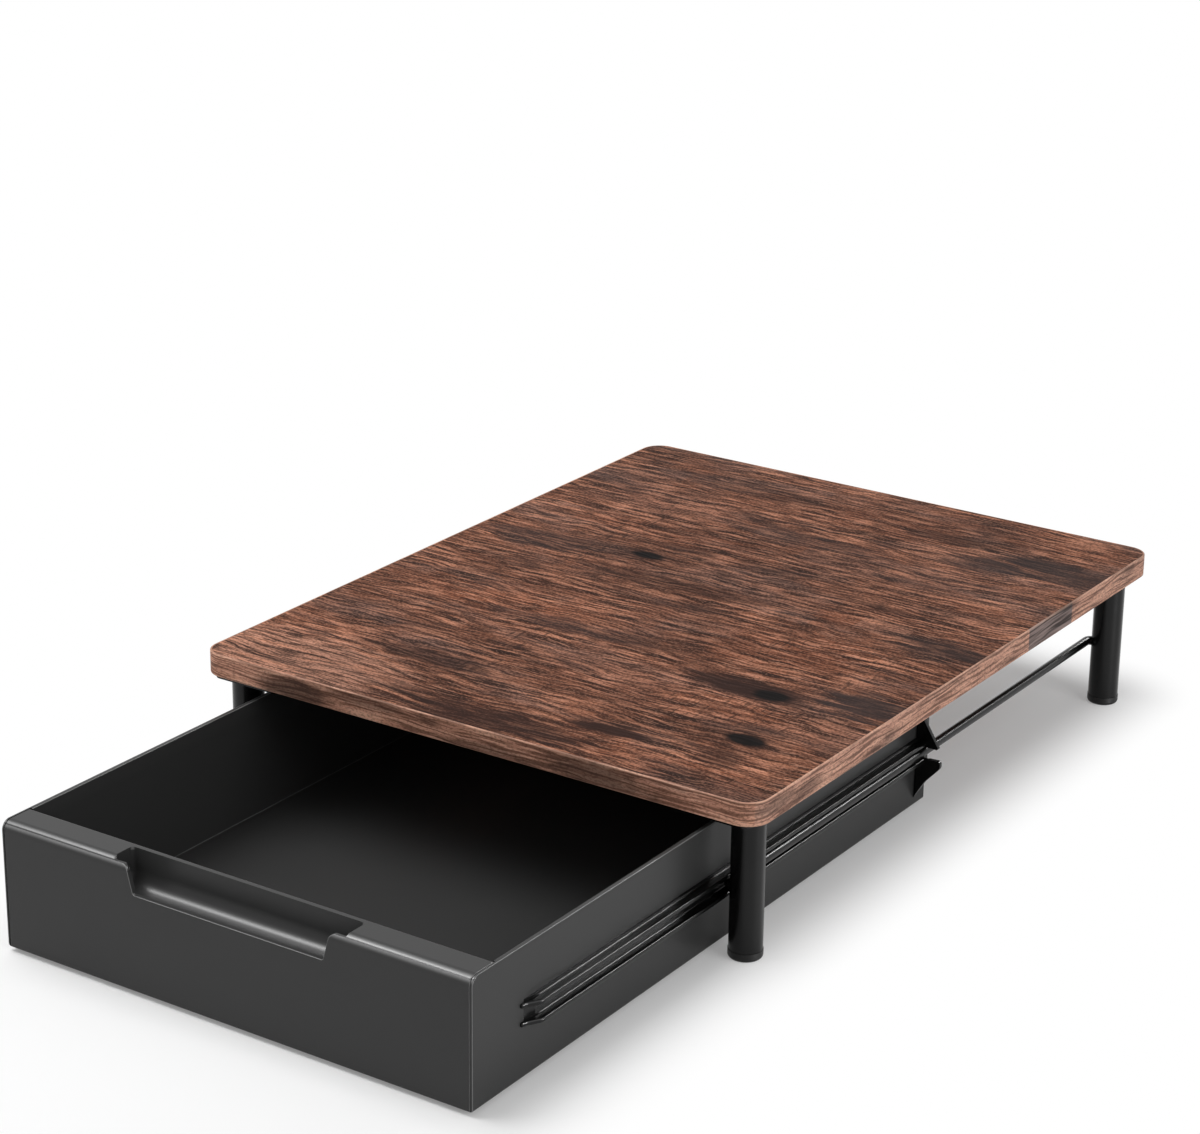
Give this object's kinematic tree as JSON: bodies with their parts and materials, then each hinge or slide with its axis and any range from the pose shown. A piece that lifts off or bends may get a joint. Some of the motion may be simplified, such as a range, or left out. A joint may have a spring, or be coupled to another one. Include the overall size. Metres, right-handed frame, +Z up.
{
  "type": "coffee pod drawer",
  "caption": "Low stand with a wood-look board on tube legs and an open sheet-steel drawer below that slides forward on side rods, with a recessed pull in its front",
  "frame": {"origin": "on the table under the feet, below the middle of the whole object with the drawer part way out", "axes": "X to the right seen from the front, Y to the rear along the drawer's travel, Z up"},
  "size_m": [0.33, 0.5956, 0.087],
  "materials": {
    "board_laminate": "satin wood-look laminate",
    "edge_laminate": "satin wood-look edge band",
    "black_enamel": "gloss black enamel on steel",
    "drawer_enamel": "satin charcoal enamel on sheet steel",
    "foot_plastic": "black moulded cap",
    "screw_steel": "zinc-plated wood screws"
  },
  "bodies": {
    "frame": {"top_board": "board_laminate", "edge_band": "edge_laminate", "front_left_leg": "black_enamel", "front_left_foot": "foot_plastic", "front_left_leg_plate": "black_enamel", "front_left_plate_screws": "screw_steel", "front_right_leg": "black_enamel", "front_right_foot": "foot_plastic", "front_right_leg_plate": "black_enamel", "front_right_plate_screws": "screw_steel", "rear_left_leg": "black_enamel", "rear_left_foot": "foot_plastic", "rear_left_leg_plate": "black_enamel", "rear_left_plate_screws": "screw_steel", "rear_right_leg": "black_enamel", "rear_right_foot": "foot_plastic", "rear_right_leg_plate": "black_enamel", "rear_right_plate_screws": "screw_steel", "left_slide_rod": "black_enamel", "right_slide_rod": "black_enamel"},
    "drawer": {"drawer_tray": "drawer_enamel", "drawer_back": "drawer_enamel", "drawer_front": "drawer_enamel", "pull_cup": "drawer_enamel", "left_runner": "black_enamel", "right_runner": "black_enamel", "left_stop_bracket": "black_enamel", "right_stop_bracket": "black_enamel"}
  },
  "joints": [
    {"name": "drawer_slide", "type": "slide", "parent": "frame", "child": "drawer", "axis": [0, -1, 0], "range_m": [-0.182, 0.1805]}
  ]
}
